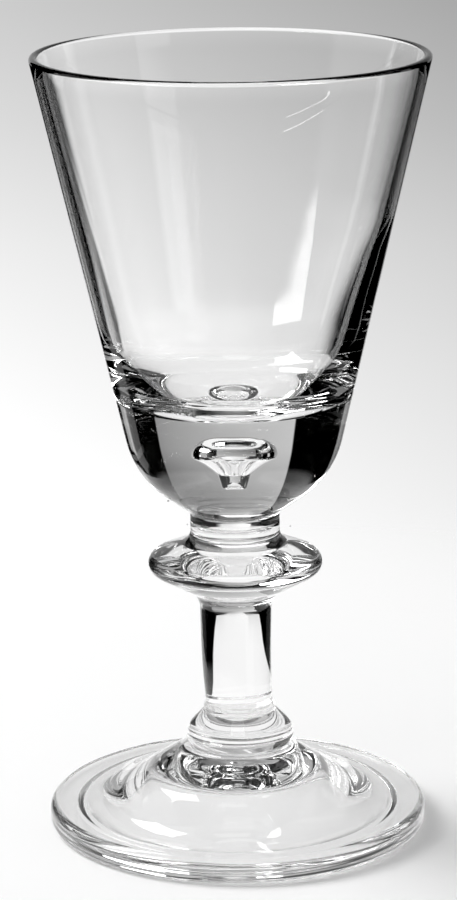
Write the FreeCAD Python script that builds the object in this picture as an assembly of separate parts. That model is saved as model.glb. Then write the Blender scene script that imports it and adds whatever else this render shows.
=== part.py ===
import FreeCAD, Part
import os
from math import atan2, cos, hypot, radians, sin, tan

# Claret glass, blown and worked as one piece of clear glass.
# The foot rests on z = 0 and the axis of the glass is the Z axis. Millimetres, degrees.

# Foot: a domed disc with a thick rounded edge, hollow underneath
foot_radius = 36.5
foot_edge_thickness = 4.8
foot_edge_rounding = 1.7
foot_top_rise = 0.3
rest_ring_width = 4.2
rest_ring_rounding = 2.0

# Hollow under the foot: a shallow recess, then a bell with a slightly crowned top
recess_height = 1.0
hollow_radius = 24.5
hollow_height = 9.5
hollow_crown = 2.5
hollow_slope = 45.0
hollow_rounding = 8.0
hollow_flare_rounding = 12.0

# Dome: it rises from the foot to the lower knop
dome_height = 10.9
dome_slope = 32.8
dome_flare_rounding = 26.0

# Lower knop: a collar with an upright edge and a rounded shoulder
knop_radius = 10.35
knop_crease_depth = 0.7
knop_underside_height = 0.5
knop_edge_height = 2.5
knop_shoulder_height = 3.6
knop_rounding = 3.8

# Bead at the bottom of the stem
bead_radius = 6.9
bead_height = 0.9
bead_rounding = 0.4

# Stem: a plain solid rod, a little stouter at its top
stem_bottom_radius = 6.5
stem_top_radius = 6.95
stem_length = 21.4
stem_foot_height = 0.7
stem_top_rounding = 4.5

# Flange: the broad thin knop between stem and neck
flange_radius = 16.7
flange_edge_rounding = 1.85
flange_under_slope = 29.5
flange_top_slope = 22.6

# Neck, between the flange and the bowl
neck_radius = 8.6
neck_length = 5.7
neck_bottom_rounding = 2.6
neck_top_rounding = 1.4

# Bowl: a straight cone above a rounded solid base
base_radius = 19.15
base_under_slope = 35.5
base_rounding = 18.0
bowl_height = 80.0
rim_radius = 37.6
lip_thickness = 1.6
lip_rounding = 0.75

# Inside of the bowl: the wall bends inwards above the solid base, to a rounded floor
base_thickness = 21.85
wall_taper = 13.9
bend_radius = 21.8
bend_rounding = 29.5
lower_wall_slope = 62.0
floor_rounding = 9.2

# Air tear: a closed bubble in the solid base, a wide cap over a narrow tail
tear_depth = 3.9
cap_radius = 5.3
cap_height = 4.2
cap_top_rounding = 4.1
cap_edge_rounding = 1.3
cap_under_height = 2.4
tail_radius = 2.0
tail_end_radius = 1.4
tail_length = 1.6
tail_rounding = 0.5

# Two roundings may take at most this share of the straight side between them
side_share = 0.98


def rise(run, slope):
    return run * tan(radians(slope))


def turn_at(before, corner, after):
    """The angle by which an outline turns at a corner, positive to the left."""
    into = (corner[0] - before[0], corner[1] - before[1])
    out = (after[0] - corner[0], after[1] - corner[1])
    return atan2(into[0] * out[1] - into[1] * out[0], into[0] * out[0] + into[1] * out[1])


def reaches(corners):
    """How far each corner's rounding reaches along its sides, kept within those sides."""
    wanted = [0.0]
    for before, corner, after in zip(corners, corners[1:], corners[2:]):
        wanted.append(corner[2] * tan(abs(turn_at(before, corner, after)) / 2))
    wanted.append(0.0)
    allowed = list(wanted)
    for i in range(len(corners) - 1):
        length = hypot(corners[i + 1][0] - corners[i][0], corners[i + 1][1] - corners[i][1])
        both = wanted[i] + wanted[i + 1]
        if both > side_share * length:
            share = side_share * length / both
            allowed[i] = min(allowed[i], wanted[i] * share)
            allowed[i + 1] = min(allowed[i + 1], wanted[i + 1] * share)
    return allowed


def towards(start, end, distance):
    length = hypot(end[0] - start[0], end[1] - start[1])
    share = distance / length
    return (start[0] + share * (end[0] - start[0]), start[1] + share * (end[1] - start[1]))


def point(pair):
    return FreeCAD.Vector(pair[0], 0, pair[1])


def straight(start, end):
    return Part.LineSegment(point(start), point(end)).toShape()


def outline(corners):
    """Edges through (radius, height, rounding) corners, each corner rounded by a tangent arc."""
    edges = []
    here = corners[0]
    reach_list = reaches(corners)
    for i in range(1, len(corners) - 1):
        before, corner, after = corners[i - 1:i + 2]
        reach = reach_list[i]
        if reach > 0:
            start = towards(corner, before, reach)
            end = towards(corner, after, reach)
            half_turn = abs(turn_at(before, corner, after)) / 2
            chord_middle = ((start[0] + end[0]) / 2, (start[1] + end[1]) / 2)
            sagitta = reach / tan(half_turn) * (1 - cos(half_turn))
            middle = towards(chord_middle, corner, sagitta)
            edges.append(straight(here, start))
            edges.append(Part.Arc(point(start), point(middle), point(end)).toShape())
            here = end
        else:
            edges.append(straight(here, corner))
            here = corner
    edges.append(straight(here, corners[-1]))
    return edges


def turned(corners):
    """The solid swept about the axis by an outline whose two ends lie on the axis."""
    edges = outline(corners)
    edges.append(straight(corners[-1], corners[0]))
    face = Part.Face(Part.Wire(edges))
    return face.revolve(FreeCAD.Vector(0, 0, 0), FreeCAD.Vector(0, 0, 1), 360)


def foot_corners():
    """From the middle of the hollow, over the rest ring and the edge, up the dome."""
    ring_inner = foot_radius - foot_edge_rounding - rest_ring_width
    hollow_shoulder = hollow_radius - (hollow_height - recess_height) / tan(radians(hollow_slope))
    dome_start = knop_radius - knop_crease_depth
    dome_run = dome_height / tan(radians(dome_slope))
    return [
        (0, hollow_height + hollow_crown, 0),
        (hollow_shoulder, hollow_height, hollow_rounding),
        (hollow_radius, recess_height, hollow_flare_rounding),
        (ring_inner - recess_height, recess_height, rest_ring_rounding),
        (ring_inner, 0, rest_ring_rounding),
        (foot_radius, 0, foot_edge_rounding),
        (foot_radius, foot_edge_thickness, foot_edge_rounding),
        (dome_start + dome_run, foot_edge_thickness + foot_top_rise, dome_flare_rounding),
    ]


dome_top = foot_edge_thickness + foot_top_rise + dome_height


def stem_corners():
    """The crease over the dome, the lower knop, the bead and the stem."""
    edge_bottom = dome_top + knop_underside_height
    edge_top = edge_bottom + knop_edge_height
    bead_bottom = edge_top + knop_shoulder_height
    bead_top = bead_bottom + bead_height
    stem_bottom = bead_top + stem_foot_height
    return [
        (knop_radius - knop_crease_depth, dome_top, 0),
        (knop_radius, edge_bottom, knop_underside_height),
        (knop_radius, edge_top, knop_rounding),
        (bead_radius, bead_bottom, bead_rounding),
        (bead_radius, bead_top, bead_rounding),
        (stem_bottom_radius, stem_bottom, bead_rounding),
        (stem_top_radius, stem_bottom + stem_length, stem_top_rounding),
    ]


stem_top = stem_corners()[-1][1]


def flange_corner():
    """The sharp corner that the flange's edge rounding cuts back to the flange radius."""
    top_normal = 90 - flange_top_slope
    under_normal = 90 - flange_under_slope
    spread = radians((top_normal + under_normal) / 2)
    tilt = radians((top_normal - under_normal) / 2)
    reach = flange_edge_rounding / cos(spread)
    radius = flange_radius - flange_edge_rounding + reach * cos(tilt)
    height = stem_top + rise(radius - stem_top_radius, flange_under_slope)
    return (radius, height, flange_edge_rounding)


neck_bottom = flange_corner()[1] + rise(flange_corner()[0] - neck_radius, flange_top_slope)
neck_top = neck_bottom + neck_length
base_corner_height = neck_top + rise(base_radius - neck_radius, base_under_slope)
rim_height = base_corner_height + bowl_height
floor_height = neck_top + base_thickness


def bowl_corners():
    """The neck, the outside of the bowl, the lip and the inside down to the floor."""
    inner_rim = rim_radius - lip_thickness
    bend_height = rim_height - (inner_rim - bend_radius) / tan(radians(wall_taper))
    floor_corner = bend_radius - (bend_height - floor_height) / tan(radians(lower_wall_slope))
    return [
        (neck_radius, neck_bottom, neck_bottom_rounding),
        (neck_radius, neck_top, neck_top_rounding),
        (base_radius, base_corner_height, base_rounding),
        (rim_radius, rim_height, lip_rounding),
        (inner_rim, rim_height, lip_rounding),
        (bend_radius, bend_height, bend_rounding),
        (floor_corner, floor_height, floor_rounding),
        (0, floor_height, 0),
    ]


def tear_corners():
    """The air tear, from its tail up to the top of its cap."""
    cap_top = floor_height - tear_depth
    cap_bottom = cap_top - cap_height
    tail_top = cap_bottom - cap_under_height
    tail_bottom = tail_top - tail_length
    return [
        (0, tail_bottom, 0),
        (tail_end_radius, tail_bottom, tail_rounding),
        (tail_radius, tail_top, tail_rounding),
        (cap_radius, cap_bottom, cap_edge_rounding),
        (cap_radius, cap_top, cap_top_rounding),
        (0, cap_top, 0),
    ]


glass = turned(foot_corners() + stem_corners() + [flange_corner()] + bowl_corners())
claret_glass = glass.cut(turned(tear_corners()))

os.makedirs("parts", exist_ok=True)
claret_glass.exportStep("parts/claret_glass.step")
print("height", round(claret_glass.BoundBox.ZMax, 2), "solids", len(claret_glass.Solids))
print("volume in ml", round(claret_glass.Volume / 1000, 2), "valid", claret_glass.isValid())
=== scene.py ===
"""A claret glass: its blown form, its clear glass and a pale studio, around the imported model."""

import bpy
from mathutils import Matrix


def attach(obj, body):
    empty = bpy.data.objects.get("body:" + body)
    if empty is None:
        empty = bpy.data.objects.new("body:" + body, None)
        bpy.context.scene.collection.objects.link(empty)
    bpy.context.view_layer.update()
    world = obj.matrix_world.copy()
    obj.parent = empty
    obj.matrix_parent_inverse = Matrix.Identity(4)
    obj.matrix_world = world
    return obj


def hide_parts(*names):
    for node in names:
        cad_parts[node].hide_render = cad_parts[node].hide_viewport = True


bl_info = {
    "name": "Claret Glass",
    "version": (1, 0, 0),
    "blender": (4, 5, 0),
    "location": "3D View > Sidebar > Claret Glass",
    "description": "Blows a stemmed claret glass with an air tear and sets it in a pale studio",
    "category": "Add Mesh",
}

from collections import namedtuple
from math import atan2, ceil, cos, hypot, pi, radians, sin, tan

import bpy
from bpy.props import FloatProperty, FloatVectorProperty, IntProperty, PointerProperty
from mathutils import Matrix, Vector, noise

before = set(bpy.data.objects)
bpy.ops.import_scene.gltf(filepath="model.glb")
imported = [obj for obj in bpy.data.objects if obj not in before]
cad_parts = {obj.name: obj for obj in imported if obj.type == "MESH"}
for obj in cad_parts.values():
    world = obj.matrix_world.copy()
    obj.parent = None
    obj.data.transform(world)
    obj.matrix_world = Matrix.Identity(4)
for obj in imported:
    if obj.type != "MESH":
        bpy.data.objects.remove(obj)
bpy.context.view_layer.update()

MM = 0.001
DEGREES_PER_RADIAN = 180 / pi
GLASS_NODE = "claret_glass"

# Slopes in degrees, and small heights and roundings in metres
HOLLOW_SLOPE = 45.0
HOLLOW_ROUNDING = 8.0 * MM
HOLLOW_FLARE_ROUNDING = 12.0 * MM
REST_RING_ROUNDING = 2.0 * MM
FOOT_EDGE_ROUNDING = 1.7 * MM
DOME_SLOPE = 32.8
DOME_FLARE_ROUNDING = 26.0 * MM
KNOP_CREASE_DEPTH = 0.7 * MM
KNOP_UNDERSIDE_HEIGHT = 0.5 * MM
KNOP_EDGE_HEIGHT = 2.5 * MM
KNOP_SHOULDER_HEIGHT = 3.6 * MM
KNOP_ROUNDING = 3.8 * MM
BEAD_HEIGHT = 0.9 * MM
BEAD_ROUNDING = 0.4 * MM
STEM_FOOT_HEIGHT = 0.7 * MM
STEM_TOP_ROUNDING = 4.5 * MM
FLANGE_EDGE_ROUNDING = 1.85 * MM
FLANGE_UNDER_SLOPE = 29.5
FLANGE_TOP_SLOPE = 22.6
NECK_BOTTOM_ROUNDING = 2.6 * MM
NECK_TOP_ROUNDING = 1.4 * MM
BASE_UNDER_SLOPE = 35.5
BASE_ROUNDING = 18.0 * MM
LIP_ROUNDING = 0.75 * MM
WALL_TAPER = 13.9
BEND_ROUNDING = 50.0 * MM
LOWER_WALL_SLOPE = 60.0
FLOOR_ROUNDING = 15.0 * MM
CAP_TOP_ROUNDING = 4.1 * MM
CAP_EDGE_ROUNDING = 1.3 * MM
TAIL_ROUNDING = 0.5 * MM

# Two roundings take at most this share of the straight side between them
SIDE_SHARE = 0.98

# Steps along an outline: degrees of turn and fewest steps on a rounding, and the length of
# a step on a straight side. A point nearer to the axis than ON_AXIS lies on it.
ARC_STEP = 4.0
ARC_LEAST_STEPS = 3
SIDE_STEP = 3.0 * MM
ON_AXIS = 0.001 * MM

# The maker's hand: the lower knop sits off the axis, to the right, and draws the bottom of
# the stem and the top of the dome with it. The reach below ends over the hollow.
KNOP_SHIFT = 0.65 * MM
KNOP_SHIFT_HEIGHT = 18.5 * MM
KNOP_SHIFT_REACH_BELOW = 6.0 * MM
KNOP_SHIFT_REACH_ABOVE = 17.0 * MM

# The foot has soft waves, deepest from this far out. They fade out as the dome rises to
# WAVES_END, and towards the ring that the glass stands on, which is flat.
WAVE_LENGTH = 11.0 * MM
WAVE_DEPTH = 0.1 * MM
WAVES_DEEPEST_FROM = 22.0 * MM
WAVES_END = 17.0 * MM
WAVES_FADE = 5.0 * MM
REST_RING_FADE = 1.5 * MM

# Blender starts its noise from the clock, so the waves have a seed, to be alike in each run
WAVE_SEED = 1

# Ring-shaped ripples that the tool left in the crown of the hollow
RIPPLES = 5
RIPPLE_SPACING = 2.1 * MM
RIPPLE_DEPTH = 0.07 * MM
RIPPLE_ROUNDING = 12.0 * MM

# The wall of the bowl is thicker at the right, by this much at this height
THICKER_WALL = 0.8 * MM
THICKER_HEIGHT = 95.0 * MM
THICKER_REACH = 28.0 * MM

# Under the lip it is thinner all round than a straight taper, by this much at this height
THINNER_WALL = 0.45 * MM
THINNER_HEIGHT = 133.0 * MM
THINNER_REACH = 13.0 * MM

# A point of the bowl is on its inside if it is above INSIDE_BOTTOM and nearer to the axis
# than a line within the wall, which has this radius at this height and widens by this much
INSIDE_BOTTOM = 80.0 * MM
WALL_LINE_RADIUS = 17.0 * MM
WALL_LINE_HEIGHT = 70.0 * MM
WALL_LINE_FLARE = 0.2306

# Seed bubbles in the solid base and the walls: x, y, height and radius in millimetres
SEEDS = (
    (-12.6, -6.5, 66.0, 0.20),
    (-14.8, -3.0, 71.5, 0.16),
    (-9.0, -10.5, 62.5, 0.13),
    (12.9, -6.0, 72.5, 0.17),
    (10.4, -8.8, 61.5, 0.14),
    (15.2, -1.5, 67.0, 0.13),
    (6.0, -9.5, 68.0, 0.10),
    (-3.5, 6.0, 59.0, 0.12),
)
SEED_STEPS = 10

# The backdrop as the camera sees it: sRGB grey by elevation in degrees. Its fall from white low down
# to grey higher up is painted shade, where the light on it falls off
BACKDROP = (
    (-24.0, "#FFFFFF"),
    (-17.0, "#FFFFFF"),
    (-15.0, "#FBFBFB"),
    (-13.0, "#EFEFEF"),
    (-11.0, "#E1E1E1"),
    (-9.0, "#CDCDCD"),
    (-7.0, "#BCBCBC"),
    (-3.0, "#BEBEBE"),
    (2.0, "#B8B8B8"),
    (10.0, "#A9A9A9"),
    (20.0, "#9E9E9E"),
    (36.0, "#8E8E8E"),
    (44.0, "#A5A5A5"),
    (52.0, "#C3C3C3"),
)

# Painted shade: it gets darker to the right by this much for each degree: steeply near the middle
# and low down, ending between the elevations of STEEP_END, and gently over a wider reach. Beside
# and behind the camera it is even: the fall fades out between the azimuths of FALL_FADES.
STEEP_FALL = 0.022
STEEP_REACH = 4.5
STEEP_END = (-7.0, -3.0)
GENTLE_FALL = 0.0055
GENTLE_REACH = 32.0
FALL_FADES = (35.0, 100.0)

# Patches of what surrounds the glass, seen through it and in its surface, in degrees.
# Azimuth 0 is straight behind the glass and rises to the right, elevation is above the
# level. The sides have soft edges, and are upright unless their tops are given as well.
Patch = namedtuple(
    "Patch",
    "bottom top left right soft_left soft_right left_top right_top",
    defaults=(1.0, 1.0, None, None),
)
PATCH_ENDS_SOFT = 1.0

# Where the backdrop shows between painted black cards: outside these the glass sees darkness painted
# into the backdrop, which the camera never sees
OPENINGS = (
    Patch(-6.0, 60.0, -22.0, 31.0, 0.4, 0.4),
    Patch(-8.5, -5.0, -26.0, 29.0, left_top=-24.0),
    Patch(-16.0, -5.0, -14.5, 16.0, 1.2, 4.0, left_top=-5.0, right_top=6.0),
    Patch(-91.5, -14.0, -12.0, 9.0, 1.2, 4.0, left_top=-14.5, right_top=15.0),
)

# Painted reflections: patches of their own brightness in the dark that only the glass sees, in its
# surface and through it. They light nothing, as matt surfaces see only ROOM_LIGHT. Those that
# cross azimuth 180 are in two parts, one from each side.
PAINTED_REFLECTIONS = (
    # Painted reflections of a card and a wall at the right, and a wall at the left
    (Patch(-8.0, 14.0, 58.0, 68.0, 2.0, 2.0), 0.6),
    (Patch(22.0, 33.0, 59.0, 113.0, 3.0, 3.0), 0.4),
    (Patch(-4.0, 33.0, -113.0, -62.0, 3.0, 1.5), 0.45),
    # Painted reflections of grey cards, each opposite a place that the glass is looked at from
    (Patch(-34.0, -22.0, -57.0, -36.0), 0.6),
    (Patch(-20.5, -8.0, 121.0, 149.0), 0.6),
    (Patch(-9.0, 4.0, -102.0, -78.0), 0.6),
    (Patch(-16.0, -1.0, -185.0, -163.0), 0.22),
    (Patch(-16.0, -1.0, 163.0, 185.0), 0.22),
    # Painted reflection of a strip light over the camera
    (Patch(46.0, 51.0, -185.0, -160.0), 0.8),
    (Patch(46.0, 51.0, 160.0, 185.0), 0.8),
    # Painted reflection of a roof light behind the camera
    (Patch(60.0, 76.0, -185.0, -140.0), 1.5),
    (Patch(60.0, 76.0, 160.0, 185.0), 1.5),
    # Painted reflection of a pale card at the right, behind the camera
    (Patch(6.0, 15.0, 121.0, 143.0), 1.2),
    # Painted highlights: a bright window at the left, behind the camera, and a small lamp at the left
    (Patch(-2.5, 8.9, -141.0, -110.5, 0.3, 0.3), 9.0),
    (Patch(0.0, 8.0, -67.0, -61.0, 1.5, 1.5), 1.6),
)

# Light that the backdrop gives to matt surfaces. A ray that comes from one has a diffuse
# depth above MATT_DEPTH.
ROOM_LIGHT = 0.36
MATT_DEPTH = 0.5

# The floor as the glass sees it: pale this near to the glass, and in a strip behind it that
# gets narrower between two distances. Elsewhere it is clear to the glass, and the painted black
# cards of the backdrop show in its place, where the camera sees pale floor.
NEAR_FLOOR = 85.0 * MM
NEAR_FLOOR_EDGE = 10.0 * MM
STRIP_MIDDLE = -8.0 * MM
STRIP_EDGE = 2.0 * MM
STRIP_NARROWS = (150.0 * MM, 210.0 * MM)
STRIP_HALF_WIDTHS = (70.0 * MM, 45.0 * MM)
STRIP_START = (0.0, 10.0 * MM)

# The floor lies this far below the glass, has this many sides and fades out from this share of
# its radius. A share of it glows white, a little to make it pale and much more as the glass sees
# it, where this painted glow fills in the shadow that the glass casts on the floor; the rest is matt.
FLOOR_GAP = 0.1 * MM
FLOOR_STEPS = 64
FADE_START = 0.46
PAPER_GLOW = 0.12
PAPER_GLOW_IN_GLASS = 0.72

# The key light, in metres: a soft square from the left, behind the glass
KEY_PLACE = (-0.9, 0.3, 1.1)
KEY_AIM = (0.0, 0.0, 0.05)
KEY_SIDE = 0.8

# The camera's place, its tilt below the level and its roll, fitted to the rim and foot
CAMERA_PLACE = (-1.1 * MM, -637.5 * MM, 238.0 * MM)
CAMERA_TILT = 14.41
CAMERA_ROLL = -0.59

# Light crosses many surfaces on its way through the base and foot
GLASS_BOUNCES = 32
GLOSSY_BOUNCES = 16

# The sRGB curve: straight up to its knee, and a power above it
SRGB_KNEE = 0.04045
SRGB_SLOPE = 12.92
SRGB_OFFSET = 0.055
SRGB_POWER = 2.4


def srgb(hex_colour):
    """The linear colour of an sRGB hex value such as #F2F2F2."""
    colour = []
    for start in (1, 3, 5):
        value = int(hex_colour[start:start + 2], 16) / 255
        if value <= SRGB_KNEE:
            colour.append(value / SRGB_SLOPE)
        else:
            colour.append(((value + SRGB_OFFSET) / (1 + SRGB_OFFSET)) ** SRGB_POWER)
    return (*colour, 1.0)


def length(name, description, millimetres):
    """A size of the glass, entered in millimetres and kept in metres."""
    return FloatProperty(
        name=name, description=description, default=millimetres * MM, min=0.0, unit="LENGTH"
    )


class GlassSizes(bpy.types.PropertyGroup):
    """The sizes of the claret glass."""

    foot_radius: length("Foot radius", "Outer radius of the foot", 36.5)
    foot_edge_thickness: length("Foot edge", "Thickness of the foot at its edge", 4.8)
    foot_top_rise: length("Foot rise", "How far the foot rises from its edge to the dome", 0.3)
    rest_ring_width: length("Rest ring", "Width of the ring that the foot stands on", 4.2)
    hollow_radius: length("Hollow radius", "Radius of the hollow under the foot, at its mouth", 24.5)
    recess_height: length("Recess", "Height of the shallow recess around the hollow", 1.0)
    hollow_height: length("Hollow height", "Height of the hollow's shoulder", 9.5)
    hollow_crown: length("Hollow crown", "Rise of the hollow from its shoulder to its middle", 2.5)
    dome_height: length("Dome height", "Rise of the dome from the foot to the lower knop", 10.9)
    knop_radius: length("Knop radius", "Radius of the lower knop", 10.35)
    bead_radius: length("Bead radius", "Radius of the bead at the bottom of the stem", 6.9)
    stem_bottom_radius: length("Stem bottom", "Radius of the stem at its bottom", 6.5)
    stem_top_radius: length("Stem top", "Radius of the stem at its top", 6.95)
    stem_length: length("Stem length", "Length of the plain stem", 21.4)
    flange_radius: length("Flange radius", "Radius of the broad flange under the neck", 16.7)
    neck_radius: length("Neck radius", "Radius of the neck", 8.6)
    neck_length: length("Neck length", "Length of the neck", 5.7)
    base_radius: length("Base radius", "Radius at which the bowl's base turns into its cone", 19.15)
    bowl_height: length("Bowl height", "Height of the bowl's cone", 80.0)
    rim_radius: length("Rim radius", "Outer radius of the rim", 37.6)
    lip_thickness: length("Lip thickness", "Thickness of the wall at the rim", 1.6)
    bend_radius: length("Bend radius", "Inner radius where the wall bends inwards", 22.0)
    base_thickness: length("Base thickness", "Height of solid glass from the neck to the floor", 21.6)
    tear_depth: length("Tear depth", "Glass between the bowl's floor and the air tear", 3.65)
    cap_radius: length("Cap radius", "Radius of the air tear's cap", 5.3)
    cap_height: length("Cap height", "Height of the air tear's cap", 4.2)
    cap_under_height: length("Cap underside", "Height of the cone under the cap", 2.4)
    tail_radius: length("Tail radius", "Radius of the air tear's tail at its top", 2.0)
    tail_end_radius: length("Tail end", "Radius of the air tear's tail at its end", 1.4)
    tail_length: length("Tail length", "Length of the air tear's tail", 1.6)


class GlassFinish(bpy.types.PropertyGroup):
    """The colour and clearness of the glass."""

    tint: FloatVectorProperty(
        name="Tint",
        description="Colour that light takes on at the surface of the glass",
        default=srgb("#FFFFFF")[:3],
        min=0.0,
        max=1.0,
        subtype="COLOR",
    )
    ior: FloatProperty(
        name="IOR",
        description="Refractive index of the glass",
        default=1.52,
        min=1.0,
        max=2.0,
    )
    steps_around: IntProperty(
        name="Steps around",
        description="Faces in one turn about the axis",
        default=200,
        min=24,
        max=256,
    )


class StudioLook(bpy.types.PropertyGroup):
    """The floor, the light and the camera."""

    floor_colour: FloatVectorProperty(
        name="Floor",
        description="Colour of the floor",
        default=srgb("#F9F9F9")[:3],
        subtype="COLOR",
    )
    floor_radius: length("Floor radius", "Radius of the floor, which fades into the backdrop", 260.0)
    key_power: FloatProperty(
        name="Key light",
        description="Power of the soft light from the left",
        default=19.0,
        min=0.0,
        unit="POWER",
    )
    focal_length: FloatProperty(
        name="Focal length",
        description="Focal length of the camera in millimetres",
        default=138.2,
        min=1.0,
    )


def node(tree, kind, inputs=(), **settings):
    """Add a shader node, apply its settings, and fill its inputs with values or outputs."""
    made = tree.nodes.new("ShaderNode" + kind)
    for name, value in settings.items():
        setattr(made, name, value)
    for key, value in inputs:
        if isinstance(value, bpy.types.NodeSocket):
            tree.links.new(value, made.inputs[key])
        else:
            made.inputs[key].default_value = value
    return made


def rise(run, slope):
    """How far a side rises over a level run, at a slope in degrees."""
    return run * tan(radians(slope))


def turn_at(before, corner, after):
    """The angle by which an outline turns at a corner, positive to the left."""
    into = (corner[0] - before[0], corner[1] - before[1])
    out = (after[0] - corner[0], after[1] - corner[1])
    return atan2(into[0] * out[1] - into[1] * out[0], into[0] * out[0] + into[1] * out[1])


def reaches(corners):
    """How far each corner's rounding reaches along its sides, kept within those sides."""
    wanted = [0.0]
    for before, corner, after in zip(corners, corners[1:], corners[2:]):
        wanted.append(corner[2] * tan(abs(turn_at(before, corner, after)) / 2))
    wanted.append(0.0)
    allowed = list(wanted)
    for i in range(len(corners) - 1):
        side = hypot(corners[i + 1][0] - corners[i][0], corners[i + 1][1] - corners[i][1])
        both = wanted[i] + wanted[i + 1]
        if both > SIDE_SHARE * side:
            share = SIDE_SHARE * side / both
            allowed[i] = min(allowed[i], wanted[i] * share)
            allowed[i + 1] = min(allowed[i + 1], wanted[i + 1] * share)
    return allowed


def towards(start, end, distance):
    """The point at a distance from start on the way to end."""
    side = hypot(end[0] - start[0], end[1] - start[1])
    share = distance / side
    return (start[0] + share * (end[0] - start[0]), start[1] + share * (end[1] - start[1]))


def straight(start, end, step):
    """Evenly spaced points from start up to, but not including, end."""
    side = hypot(end[0] - start[0], end[1] - start[1])
    count = max(1, ceil(side / step))
    return [towards(start, end, side * i / count) for i in range(count)]


def rounded(start, corner, end, turn):
    """Points on the arc that rounds a corner from start up to, but not including, end."""
    radius = hypot(corner[0] - start[0], corner[1] - start[1]) / tan(abs(turn) / 2)
    side = 1 if turn > 0 else -1
    heading = atan2(corner[1] - start[1], corner[0] - start[0])
    centre = (start[0] - side * radius * sin(heading), start[1] + side * radius * cos(heading))
    first = atan2(start[1] - centre[1], start[0] - centre[0])
    count = max(ARC_LEAST_STEPS, ceil(abs(turn) * DEGREES_PER_RADIAN / ARC_STEP))
    points = []
    for i in range(count):
        angle = first + turn * i / count
        points.append((centre[0] + radius * cos(angle), centre[1] + radius * sin(angle)))
    return points


def outline(corners):
    """Points along (radius, height, rounding) corners, with each corner rounded by an arc."""
    points = []
    here = corners[0][:2]
    reach_list = reaches(corners)
    for i in range(1, len(corners) - 1):
        before, corner, after = corners[i - 1:i + 2]
        reach = reach_list[i]
        if reach > 0:
            start = towards(corner, before, reach)
            end = towards(corner, after, reach)
            points += straight(here, start, SIDE_STEP)
            points += rounded(start, corner, end, turn_at(before, corner, after))
            here = end
        else:
            points += straight(here, corner, SIDE_STEP)
            here = corner[:2]
    points += straight(here, corners[-1], SIDE_STEP)
    points.append(corners[-1][:2])
    return points


def foot_corners(size):
    """From the middle of the hollow, over the rest ring and the edge, up the dome."""
    ring_inner = size.foot_radius - FOOT_EDGE_ROUNDING - size.rest_ring_width
    wall_height = size.hollow_height - size.recess_height
    shoulder = size.hollow_radius - wall_height / tan(radians(HOLLOW_SLOPE))
    dome_start = size.knop_radius - KNOP_CREASE_DEPTH
    dome_run = size.dome_height / tan(radians(DOME_SLOPE))
    plate_top = size.foot_edge_thickness + size.foot_top_rise
    crown = [(0, size.hollow_height + size.hollow_crown, 0)]
    for i in range(1, RIPPLES + 1):
        radius = i * RIPPLE_SPACING
        height = size.hollow_height + size.hollow_crown * (1 - radius / shoulder)
        crown.append((radius, height - RIPPLE_DEPTH * (-1) ** i, RIPPLE_ROUNDING))
    return crown + [
        (shoulder, size.hollow_height, HOLLOW_ROUNDING),
        (size.hollow_radius, size.recess_height, HOLLOW_FLARE_ROUNDING),
        (ring_inner - size.recess_height, size.recess_height, REST_RING_ROUNDING),
        (ring_inner, 0, REST_RING_ROUNDING),
        (size.foot_radius, 0, FOOT_EDGE_ROUNDING),
        (size.foot_radius, size.foot_edge_thickness, FOOT_EDGE_ROUNDING),
        (dome_start + dome_run, plate_top, DOME_FLARE_ROUNDING),
    ]


def stem_corners(size):
    """The crease over the dome, the lower knop, the bead and the stem."""
    dome_top = size.foot_edge_thickness + size.foot_top_rise + size.dome_height
    edge_bottom = dome_top + KNOP_UNDERSIDE_HEIGHT
    edge_top = edge_bottom + KNOP_EDGE_HEIGHT
    bead_bottom = edge_top + KNOP_SHOULDER_HEIGHT
    bead_top = bead_bottom + BEAD_HEIGHT
    stem_bottom = bead_top + STEM_FOOT_HEIGHT
    return [
        (size.knop_radius - KNOP_CREASE_DEPTH, dome_top, 0),
        (size.knop_radius, edge_bottom, KNOP_UNDERSIDE_HEIGHT),
        (size.knop_radius, edge_top, KNOP_ROUNDING),
        (size.bead_radius, bead_bottom, BEAD_ROUNDING),
        (size.bead_radius, bead_top, BEAD_ROUNDING),
        (size.stem_bottom_radius, stem_bottom, BEAD_ROUNDING),
        (size.stem_top_radius, stem_bottom + size.stem_length, STEM_TOP_ROUNDING),
    ]


def flange_corner(size, stem_top):
    """The sharp corner that the flange's edge rounding cuts back to the flange radius."""
    top_normal = 90 - FLANGE_TOP_SLOPE
    under_normal = 90 - FLANGE_UNDER_SLOPE
    spread = radians((top_normal + under_normal) / 2)
    tilt = radians((top_normal - under_normal) / 2)
    reach = FLANGE_EDGE_ROUNDING / cos(spread)
    radius = size.flange_radius - FLANGE_EDGE_ROUNDING + reach * cos(tilt)
    height = stem_top + rise(radius - size.stem_top_radius, FLANGE_UNDER_SLOPE)
    return (radius, height, FLANGE_EDGE_ROUNDING)


def bowl_corners(size, neck_bottom):
    """The neck, the outside of the bowl, the lip and the inside down to the floor."""
    neck_top = neck_bottom + size.neck_length
    cone_bottom = neck_top + rise(size.base_radius - size.neck_radius, BASE_UNDER_SLOPE)
    rim_height = cone_bottom + size.bowl_height
    floor_height = neck_top + size.base_thickness
    inner_rim = size.rim_radius - size.lip_thickness
    bend_height = rim_height - (inner_rim - size.bend_radius) / tan(radians(WALL_TAPER))
    floor_corner = size.bend_radius - (bend_height - floor_height) / tan(radians(LOWER_WALL_SLOPE))
    return [
        (size.neck_radius, neck_bottom, NECK_BOTTOM_ROUNDING),
        (size.neck_radius, neck_top, NECK_TOP_ROUNDING),
        (size.base_radius, cone_bottom, BASE_ROUNDING),
        (size.rim_radius, rim_height, LIP_ROUNDING),
        (inner_rim, rim_height, LIP_ROUNDING),
        (size.bend_radius, bend_height, BEND_ROUNDING),
        (floor_corner, floor_height, FLOOR_ROUNDING),
        (0, floor_height, 0),
    ]


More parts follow.
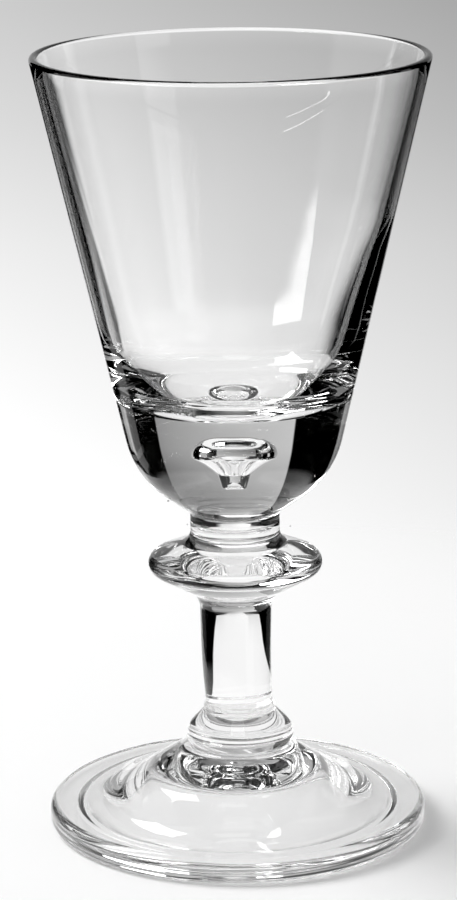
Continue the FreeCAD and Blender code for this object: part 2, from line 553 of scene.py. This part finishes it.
def tear_corners(size, floor_height):
    """The air tear, from the top of its cap down to the end of its tail."""
    cap_top = floor_height - size.tear_depth
    cap_bottom = cap_top - size.cap_height
    tail_top = cap_bottom - size.cap_under_height
    tail_bottom = tail_top - size.tail_length
    return [
        (0, cap_top, 0),
        (size.cap_radius, cap_top, CAP_TOP_ROUNDING),
        (size.cap_radius, cap_bottom, CAP_EDGE_ROUNDING),
        (size.tail_radius, tail_top, TAIL_ROUNDING),
        (size.tail_end_radius, tail_bottom, TAIL_ROUNDING),
        (0, tail_bottom, 0),
    ]


def glass_outlines(size):
    """The outline of the whole glass, and that of the air tear inside its base."""
    foot = foot_corners(size)
    stem = stem_corners(size)
    flange = flange_corner(size, stem[-1][1])
    neck_bottom = flange[1] + rise(flange[0] - size.neck_radius, FLANGE_TOP_SLOPE)
    bowl = bowl_corners(size, neck_bottom)
    tear = tear_corners(size, bowl[-1][1])
    return [outline(foot + stem + [flange] + bowl), outline(tear)]


def bump(value, middle, reach):
    """A smooth hill that is 1 at its middle and 0 beyond its reach."""
    share = min(abs(value - middle) / reach, 1.0)
    return (1 + cos(pi * share)) / 2


def hand_worked(point):
    """A point of the glass, moved as far as the maker's hand strays from a true turning."""
    x, y, height = point
    radius = hypot(x, y)
    wall = WALL_LINE_RADIUS + (height - WALL_LINE_HEIGHT) * WALL_LINE_FLARE
    if height > INSIDE_BOTTOM and 0 < radius < wall:
        inwards = -THINNER_WALL * bump(height, THINNER_HEIGHT, THINNER_REACH)
        if x > 0:
            thicker = THICKER_WALL * bump(height, THICKER_HEIGHT, THICKER_REACH)
            inwards += thicker * (x / radius) ** 2
        x *= 1 - inwards / radius
        y *= 1 - inwards / radius
    reach = KNOP_SHIFT_REACH_BELOW if height < KNOP_SHIFT_HEIGHT else KNOP_SHIFT_REACH_ABOVE
    x += KNOP_SHIFT * bump(height, KNOP_SHIFT_HEIGHT, reach)
    below_dome_top = min(max((WAVES_END - height) / WAVES_FADE, 0.0), 1.0)
    above_ring = min(height / REST_RING_FADE, 1.0)
    far_out = min(radius / WAVES_DEEPEST_FROM, 1.0) ** 2
    depth = WAVE_DEPTH * below_dome_top * above_ring * far_out
    wave = noise.noise_vector(Vector(point) / WAVE_LENGTH) * depth
    return (x + wave.x, y + wave.y, height + wave.z)


def seed_points_and_faces(first, seed):
    """A tiny closed bubble, facing inwards as the air tear does."""
    x, y, height, radius = (value * MM for value in seed)
    points = []
    for ring in range(1, SEED_STEPS):
        tilt = pi * ring / SEED_STEPS
        for i in range(SEED_STEPS):
            angle = 2 * pi * i / SEED_STEPS
            across = radius * sin(tilt)
            upwards = radius * cos(tilt)
            points.append((x + across * sin(angle), y - across * cos(angle), height + upwards))
    points.append((x, y, height + radius))
    points.append((x, y, height - radius))
    top = first + len(points) - 2
    rings = [[top] * SEED_STEPS]
    for start in range(first, top, SEED_STEPS):
        rings.append(list(range(start, start + SEED_STEPS)))
    rings.append([top + 1] * SEED_STEPS)
    return points, skin(rings, SEED_STEPS)


def skin(rings, steps):
    """Faces between rings of points."""
    faces = []
    for lower, upper in zip(rings, rings[1:]):
        for i in range(steps):
            j = (i + 1) % steps
            faces.append(tuple(dict.fromkeys((lower[i], lower[j], upper[j], upper[i]))))
    return faces


def turned(name, outlines, steps, worked=None, seeds=()):
    """A mesh object made by turning each outline about the Z axis."""
    points = []
    faces = []
    for profile in outlines:
        rings = []
        for radius, height in profile:
            first = len(points)
            if radius < ON_AXIS:
                points.append((0.0, 0.0, height))
                rings.append([first] * steps)
                continue
            for i in range(steps):
                angle = 2 * pi * i / steps
                points.append((radius * sin(angle), -radius * cos(angle), height))
            rings.append(list(range(first, first + steps)))
        faces += skin(rings, steps)
    if worked:
        points = [worked(point) for point in points]
    for seed in seeds:
        seed_points, seed_faces = seed_points_and_faces(len(points), seed)
        points += seed_points
        faces += seed_faces
    mesh = bpy.data.meshes.new(name)
    mesh.from_pydata(points, [], faces)
    mesh.polygons.foreach_set("use_smooth", [True] * len(faces))
    mesh.update()
    made = bpy.data.objects.new(name, mesh)
    bpy.context.scene.collection.objects.link(made)
    return made


def fire_polished_soda_glass(finish):
    """Clear soda glass, blown and fire polished: with no haze or colour, it shows only its
    surroundings, bent and mirrored."""
    material = bpy.data.materials.new("fire_polished_soda_glass")
    material.use_nodes = True
    shader = material.node_tree.nodes["Principled BSDF"]
    shader.inputs["Base Color"].default_value = (*finish.tint, 1.0)
    shader.inputs["Roughness"].default_value = 0.0
    shader.inputs["IOR"].default_value = finish.ior
    shader.inputs["Transmission Weight"].default_value = 1.0
    return material


def patch_share(tree, around, up, patch):
    """How much of a patch shows in a direction, from 0 beside it to 1 well within its edges."""
    share = 1.0
    for at_bottom, at_top, soft, inwards in (
        (patch.left, patch.left_top, patch.soft_left, 1),
        (patch.right, patch.right_top, patch.soft_right, -1),
    ):
        edge = node(tree, "MapRange", [
            (0, up), (1, patch.bottom), (2, patch.top),
            (3, at_bottom), (4, at_bottom if at_top is None else at_top),
        ]).outputs[0]
        beyond = node(tree, "Math", [(0, around), (1, edge)], operation="SUBTRACT").outputs[0]
        side = node(tree, "MapRange", [
            (0, beyond), (1, -inwards * soft), (2, inwards * soft),
        ], interpolation_type="SMOOTHSTEP").outputs[0]
        share = node(tree, "Math", [(0, share), (1, side)], operation="MULTIPLY").outputs[0]
    for edge, inwards in ((patch.bottom, 1), (patch.top, -1)):
        end = node(tree, "MapRange", [
            (0, up), (1, edge - inwards * PATCH_ENDS_SOFT), (2, edge + inwards * PATCH_ENDS_SOFT),
        ], interpolation_type="SMOOTHSTEP").outputs[0]
        share = node(tree, "Math", [(0, share), (1, end)], operation="MULTIPLY").outputs[0]
    return share


def studio_backdrop():
    """A pale backdrop, painted darker higher up and to the right. The glass alone sees it between
    painted black cards, with painted reflections of lit patches around it; matt surfaces see an even
    ROOM_LIGHT.
    """
    world = bpy.data.worlds.new("studio_backdrop")
    world.use_nodes = True
    tree = world.node_tree
    tree.nodes.clear()
    direction = node(tree, "TexCoord").outputs["Generated"]
    parts = node(tree, "SeparateXYZ", [(0, direction)]).outputs
    sine = node(tree, "Math", [(0, parts["Z"])], operation="ARCSINE").outputs[0]
    heading = node(tree, "Math", [(0, parts["X"]), (1, parts["Y"])], operation="ARCTAN2").outputs[0]
    up = node(tree, "Math", [(0, sine)], operation="DEGREES").outputs[0]
    around = node(tree, "Math", [(0, heading)], operation="DEGREES").outputs[0]
    # Painted shade: the backdrop greys higher up, by elevation
    lowest = BACKDROP[0][0]
    highest = BACKDROP[-1][0]
    place = node(tree, "MapRange", [(0, up), (1, lowest), (2, highest)]).outputs[0]
    shade = node(tree, "ValToRGB", [(0, place)])
    stops = shade.color_ramp.elements
    for i, (elevation, grey) in enumerate(BACKDROP):
        stop = stops[i] if i < len(stops) else stops.new(1.0)
        stop.position = (elevation - lowest) / (highest - lowest)
        stop.color = srgb(grey)
    # Painted shade: the backdrop darkens towards the right
    steepness = node(tree, "MapRange", [
        (0, up), (1, STEEP_END[0]), (2, STEEP_END[1]), (3, STEEP_FALL), (4, 0.0),
    ]).outputs[0]
    near_middle = node(tree, "Clamp", [(0, around), (1, -STEEP_REACH), (2, STEEP_REACH)]).outputs[0]
    steep = node(tree, "Math", [(0, near_middle), (1, steepness)], operation="MULTIPLY").outputs[0]
    across = node(tree, "Clamp", [(0, around), (1, -GENTLE_REACH), (2, GENTLE_REACH)]).outputs[0]
    fall = node(tree, "Math", [
        (0, across), (1, GENTLE_FALL), (2, steep),
    ], operation="MULTIPLY_ADD").outputs[0]
    aside = node(tree, "Math", [(0, around)], operation="ABSOLUTE").outputs[0]
    ahead = node(tree, "MapRange", [
        (0, aside), (1, FALL_FADES[0]), (2, FALL_FADES[1]), (3, 1.0), (4, 0.0),
    ], interpolation_type="SMOOTHSTEP").outputs[0]
    fall = node(tree, "Math", [(0, fall), (1, ahead)], operation="MULTIPLY").outputs[0]
    backdrop = node(tree, "Math", [(0, shade.outputs[0]), (1, fall)], operation="SUBTRACT").outputs[0]
    # Painted black cards: outside the openings the glass sees darkness that the camera never sees
    open_part = 0.0
    for opening in OPENINGS:
        share = patch_share(tree, around, up, opening)
        open_part = node(tree, "Math", [(0, open_part), (1, share)], operation="MAXIMUM").outputs[0]
    by_glass = node(tree, "Math", [(0, backdrop), (1, open_part)], operation="MULTIPLY").outputs[0]
    # Painted reflections: lit patches that only the glass sees, which light nothing
    for patch, brightness in PAINTED_REFLECTIONS:
        share = patch_share(tree, around, up, patch)
        lit = node(tree, "Math", [(0, share), (1, brightness)], operation="MULTIPLY").outputs[0]
        by_glass = node(tree, "Math", [(0, by_glass), (1, lit)], operation="MAXIMUM").outputs[0]
    ray = node(tree, "LightPath").outputs
    # The camera sees the plain backdrop; the glass sees the painted cards and painted reflections
    seen = node(tree, "Mix", [(0, ray["Is Camera Ray"]), (2, by_glass), (3, backdrop)]).outputs[0]
    matt = node(tree, "Math", [
        (0, ray["Diffuse Depth"]), (1, MATT_DEPTH),
    ], operation="GREATER_THAN").outputs[0]
    strength = node(tree, "Mix", [(0, matt), (2, seen), (3, ROOM_LIGHT)]).outputs[0]
    glow = node(tree, "Background", [("Color", srgb("#FFFFFF")), ("Strength", strength)])
    node(tree, "OutputWorld", [("Surface", glow.outputs[0])])
    bpy.context.scene.world = world


def paper_with_painted_glow(look):
    """White paper, partly matt, which takes soft shadows, and partly painted glow, most as the glass
    sees it, which fills in the glass's own shadow there. Seen by the glass it is clear away from its
    middle and a strip behind, so that the painted black cards show through. It fades into the
    backdrop at its edge.
    """
    material = bpy.data.materials.new("paper_with_painted_glow")
    material.use_nodes = True
    tree = material.node_tree
    tree.nodes.clear()
    place = node(tree, "NewGeometry").outputs["Position"]
    parts = node(tree, "SeparateXYZ", [(0, place)]).outputs
    distance = node(tree, "VectorMath", [(0, place)], operation="LENGTH").outputs["Value"]
    near = node(tree, "MapRange", [
        (0, distance), (1, NEAR_FLOOR + NEAR_FLOOR_EDGE), (2, NEAR_FLOOR - NEAR_FLOOR_EDGE),
    ], interpolation_type="SMOOTHSTEP").outputs[0]
    half_width = node(tree, "MapRange", [
        (0, parts["Y"]), (1, STRIP_NARROWS[0]), (2, STRIP_NARROWS[1]),
        (3, STRIP_HALF_WIDTHS[0]), (4, STRIP_HALF_WIDTHS[1]),
    ]).outputs[0]
    aside = node(tree, "Math", [(0, parts["X"]), (1, STRIP_MIDDLE)], operation="SUBTRACT").outputs[0]
    aside = node(tree, "Math", [(0, aside)], operation="ABSOLUTE").outputs[0]
    within = node(tree, "Math", [(0, half_width), (1, aside)], operation="SUBTRACT").outputs[0]
    strip = node(tree, "MapRange", [
        (0, within), (1, -STRIP_EDGE), (2, STRIP_EDGE),
    ], interpolation_type="SMOOTHSTEP").outputs[0]
    behind = node(tree, "MapRange", [
        (0, parts["Y"]), (1, STRIP_START[0]), (2, STRIP_START[1]),
    ], interpolation_type="SMOOTHSTEP").outputs[0]
    strip = node(tree, "Math", [(0, strip), (1, behind)], operation="MULTIPLY").outputs[0]
    pale = node(tree, "Math", [(0, near), (1, strip)], operation="MAXIMUM").outputs[0]
    ray = node(tree, "LightPath").outputs
    by_glass = node(tree, "Math", [
        (0, ray["Is Transmission Ray"]), (1, ray["Is Glossy Ray"]),
    ], operation="MAXIMUM").outputs[0]
    not_matt = node(tree, "Math", [
        (0, ray["Diffuse Depth"]), (1, MATT_DEPTH),
    ], operation="LESS_THAN").outputs[0]
    by_glass = node(tree, "Math", [(0, by_glass), (1, not_matt)], operation="MULTIPLY").outputs[0]
    paper = node(tree, "BsdfDiffuse", [("Color", (*look.floor_colour, 1.0))])
    glow = node(tree, "Emission", [("Strength", not_matt)])
    # Painted glow: lifts the floor as the glass sees it, filling in the glass's own shadow
    glow_share = node(tree, "MapRange", [
        (0, by_glass), (3, PAPER_GLOW), (4, PAPER_GLOW_IN_GLASS),
    ]).outputs[0]
    surface = node(tree, "MixShader", [
        (0, glow_share), (1, paper.outputs[0]), (2, glow.outputs[0]),
    ])
    fade = node(tree, "MapRange", [
        (0, distance), (1, look.floor_radius * FADE_START), (2, look.floor_radius),
    ], interpolation_type="SMOOTHSTEP").outputs[0]
    # Painted dark: away from the near patch and the strip, the glass sees through the floor to the
    # painted black cards
    not_pale = node(tree, "Math", [(0, 1.0), (1, pale)], operation="SUBTRACT").outputs[0]
    dark = node(tree, "Math", [(0, by_glass), (1, not_pale)], operation="MULTIPLY").outputs[0]
    clear = node(tree, "Math", [(0, fade), (1, dark)], operation="MAXIMUM").outputs[0]
    air = node(tree, "BsdfTransparent")
    mixed = node(tree, "MixShader", [(0, clear), (1, surface.outputs[0]), (2, air.outputs[0])])
    node(tree, "OutputMaterial", [("Surface", mixed.outputs[0])])
    return material


class CLARET_OT_glass(bpy.types.Operator):
    """Blow the glass with its air tear, in clear glass"""

    bl_idname = "claret.glass"
    bl_label = "Claret glass"

    def execute(self, context):
        size = context.scene.claret_sizes
        finish = context.scene.claret_finish
        outlines = glass_outlines(size)
        noise.seed_set(WAVE_SEED)
        glass = turned("claret_glass_blown", outlines, finish.steps_around, hand_worked, SEEDS)
        glass.data.materials.append(fire_polished_soda_glass(finish))
        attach(glass, "root")
        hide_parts(GLASS_NODE)
        return {"FINISHED"}


class CLARET_OT_stage(bpy.types.Operator):
    """Set the floor, the backdrop, the lights and the camera"""

    bl_idname = "claret.stage"
    bl_label = "Stage"

    def execute(self, context):
        look = context.scene.claret_look
        studio_backdrop()
        self.floor(look)
        self.key_light(look)
        self.camera(look)
        context.scene.view_settings.view_transform = "Standard"
        context.scene.cycles.max_bounces = GLASS_BOUNCES
        context.scene.cycles.transmission_bounces = GLASS_BOUNCES
        context.scene.cycles.glossy_bounces = GLOSSY_BOUNCES
        return {"FINISHED"}

    def floor(self, look):
        edge = (look.floor_radius, -FLOOR_GAP)
        floor = turned("floor", [[(0, -FLOOR_GAP), edge]], FLOOR_STEPS)
        floor.data.flip_normals()
        floor.data.materials.append(paper_with_painted_glow(look))

    def key_light(self, look):
        lamp = bpy.data.lights.new("key", "AREA")
        lamp.shape = "RECTANGLE"
        lamp.size = KEY_SIDE
        lamp.size_y = KEY_SIDE
        lamp.energy = look.key_power
        held = bpy.data.objects.new("key", lamp)
        held.location = KEY_PLACE
        aim = Vector(KEY_AIM) - Vector(KEY_PLACE)
        held.rotation_euler = aim.to_track_quat("-Z", "Y").to_euler()
        held.visible_camera = False
        held.visible_glossy = False
        bpy.context.scene.collection.objects.link(held)

    def camera(self, look):
        lens = bpy.data.cameras.new("camera")
        lens.lens = look.focal_length
        held = bpy.data.objects.new("camera", lens)
        place = Matrix.Translation(CAMERA_PLACE)
        tilt = Matrix.Rotation(radians(90 - CAMERA_TILT), 4, "X")
        roll = Matrix.Rotation(radians(CAMERA_ROLL), 4, "Z")
        held.matrix_world = place @ tilt @ roll
        bpy.context.scene.collection.objects.link(held)
        bpy.context.scene.camera = held


class CLARET_PT_panel(bpy.types.Panel):
    """The sizes, the finish and the steps that make the glass"""

    bl_idname = "CLARET_PT_panel"
    bl_label = "Claret Glass"
    bl_space_type = "VIEW_3D"
    bl_region_type = "UI"
    bl_category = "Claret Glass"

    def draw(self, context):
        layout = self.layout
        scene = context.scene
        for group in (scene.claret_sizes, scene.claret_finish, scene.claret_look):
            box = layout.box()
            for name in group.__annotations__:
                box.prop(group, name)
        layout.operator(CLARET_OT_glass.bl_idname)
        layout.operator(CLARET_OT_stage.bl_idname)


CLASSES = (GlassSizes, GlassFinish, StudioLook, CLARET_OT_glass, CLARET_OT_stage, CLARET_PT_panel)


def register():
    for cls in CLASSES:
        bpy.utils.register_class(cls)
    bpy.types.Scene.claret_sizes = PointerProperty(type=GlassSizes)
    bpy.types.Scene.claret_finish = PointerProperty(type=GlassFinish)
    bpy.types.Scene.claret_look = PointerProperty(type=StudioLook)


def unregister():
    del bpy.types.Scene.claret_look
    del bpy.types.Scene.claret_finish
    del bpy.types.Scene.claret_sizes
    for cls in reversed(CLASSES):
        bpy.utils.unregister_class(cls)


def main():
    register()
    bpy.ops.claret.glass()
    bpy.ops.claret.stage()


if __name__ == "__main__":
    main()
